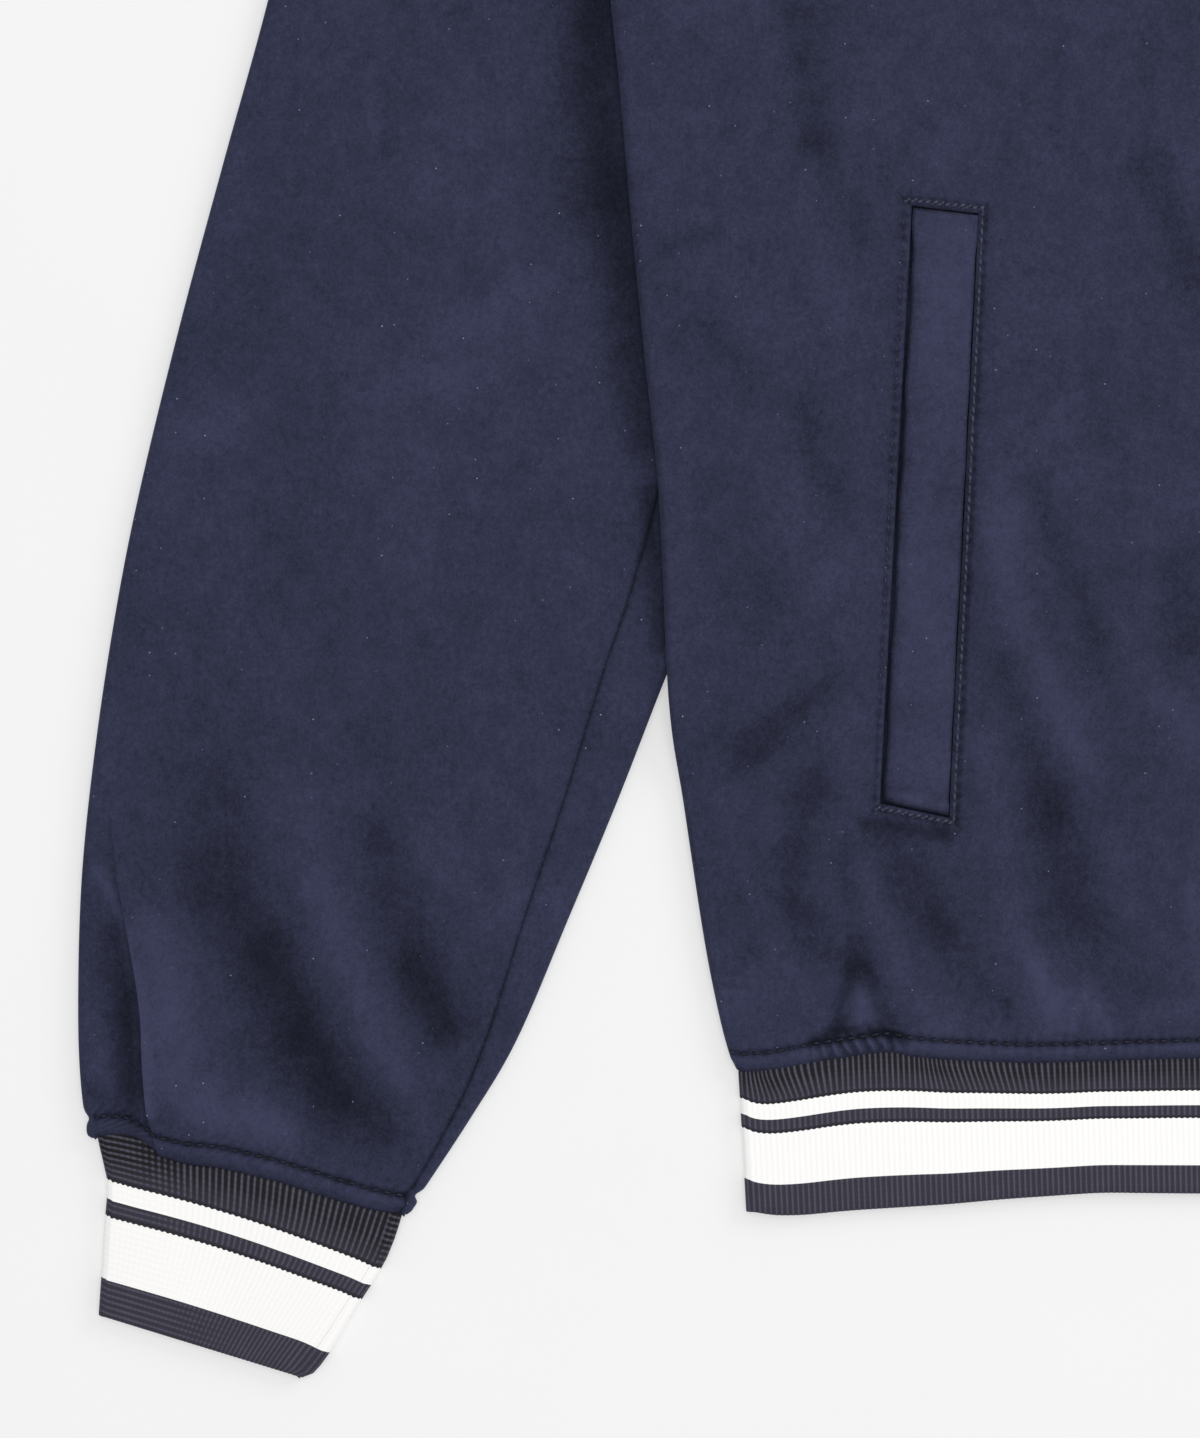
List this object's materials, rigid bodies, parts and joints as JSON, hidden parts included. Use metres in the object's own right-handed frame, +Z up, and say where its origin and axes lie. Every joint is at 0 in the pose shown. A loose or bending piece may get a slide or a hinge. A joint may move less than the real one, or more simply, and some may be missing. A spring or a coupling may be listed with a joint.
{
  "type": "varsity jacket",
  "caption": "Varsity jacket laid flat, front up: sueded cloth body and sleeves, welt pockets, striped rib cuffs and hem, rib collar, snap front.",
  "frame": {"origin": "middle of the garment's outline, on the surface it lies on", "axes": "+X to the wearer's left across both sleeves, +Y from the hem to the neck, +Z up out of the front"},
  "size_m": [0.8922, 0.7838, 0.0111],
  "materials": {
    "cloth": "sueded microfibre, matte with a soft nap",
    "welt": "sueded microfibre, matte with a soft nap",
    "rib": "rib knit with two white stripes",
    "snap": "satin enamel"
  },
  "bodies": {
    "root": {"back": "cloth", "front_right": "cloth", "front_left": "cloth", "sleeve_right": "cloth", "sleeve_left": "cloth", "pocket_welt_right": "welt", "pocket_welt_left": "welt", "hem_rib": "rib", "cuff_right": "rib", "cuff_left": "rib", "collar": "rib", "snap_1": "snap", "snap_2": "snap", "snap_3": "snap", "snap_4": "snap", "snap_5": "snap", "snap_6": "snap"}
  },
  "joints": []
}
